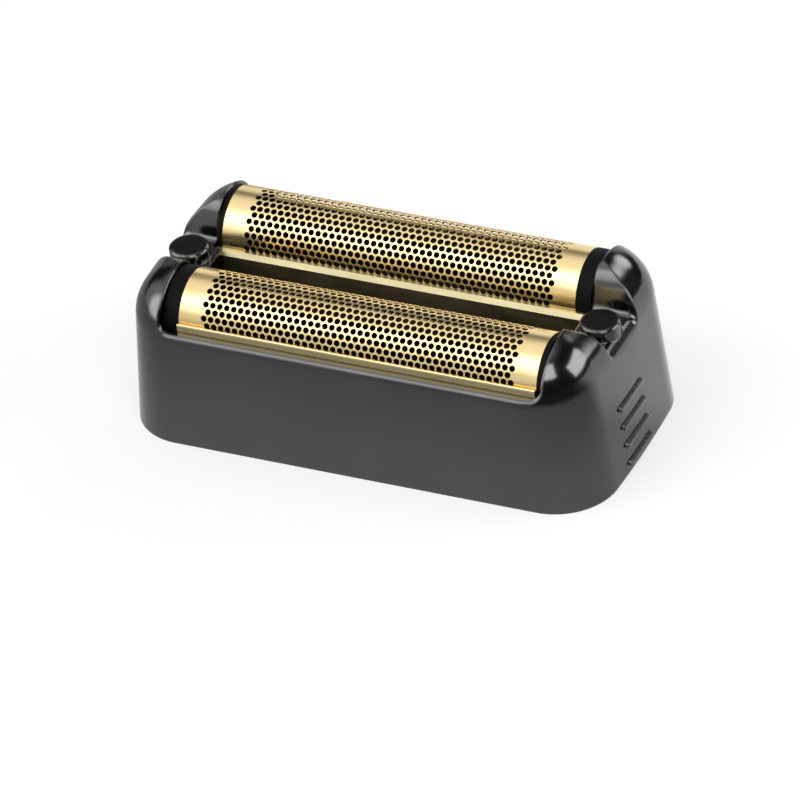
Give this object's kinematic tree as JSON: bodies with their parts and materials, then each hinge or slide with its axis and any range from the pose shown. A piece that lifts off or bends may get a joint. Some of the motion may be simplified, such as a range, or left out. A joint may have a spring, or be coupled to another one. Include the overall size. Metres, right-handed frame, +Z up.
{
  "type": "shaver foil head",
  "caption": "Twin foil head for an electric shaver: dark plated housing with rounded horns, gold perforated arched foils, gold rails and a socket for the shaver's neck.",
  "frame": {"origin": "centre of the open base, on the plane that the head stands on", "axes": "+X along the foils, +Y from the front to the back, +Z up through the foils"},
  "size_m": [0.0578, 0.0282, 0.0194],
  "materials": {
    "black_chrome": "glossy dark plating",
    "gold_foil": "bright gold plating on thin sheet",
    "gold_rail": "bright gold plating",
    "black_plastic": "matt moulded black",
    "frame_plastic": "fine-textured moulded black",
    "screw_steel": "plain steel"
  },
  "bodies": {
    "root": {"housing": "black_chrome", "front_foil": "gold_foil", "rear_foil": "gold_foil", "front_carrier": "black_plastic", "rear_carrier": "black_plastic", "front_outer_rail": "gold_rail", "front_inner_rail": "gold_rail", "rear_outer_rail": "gold_rail", "rear_inner_rail": "gold_rail", "retainer_frame": "frame_plastic", "retainer_screws": "screw_steel"}
  },
  "joints": []
}
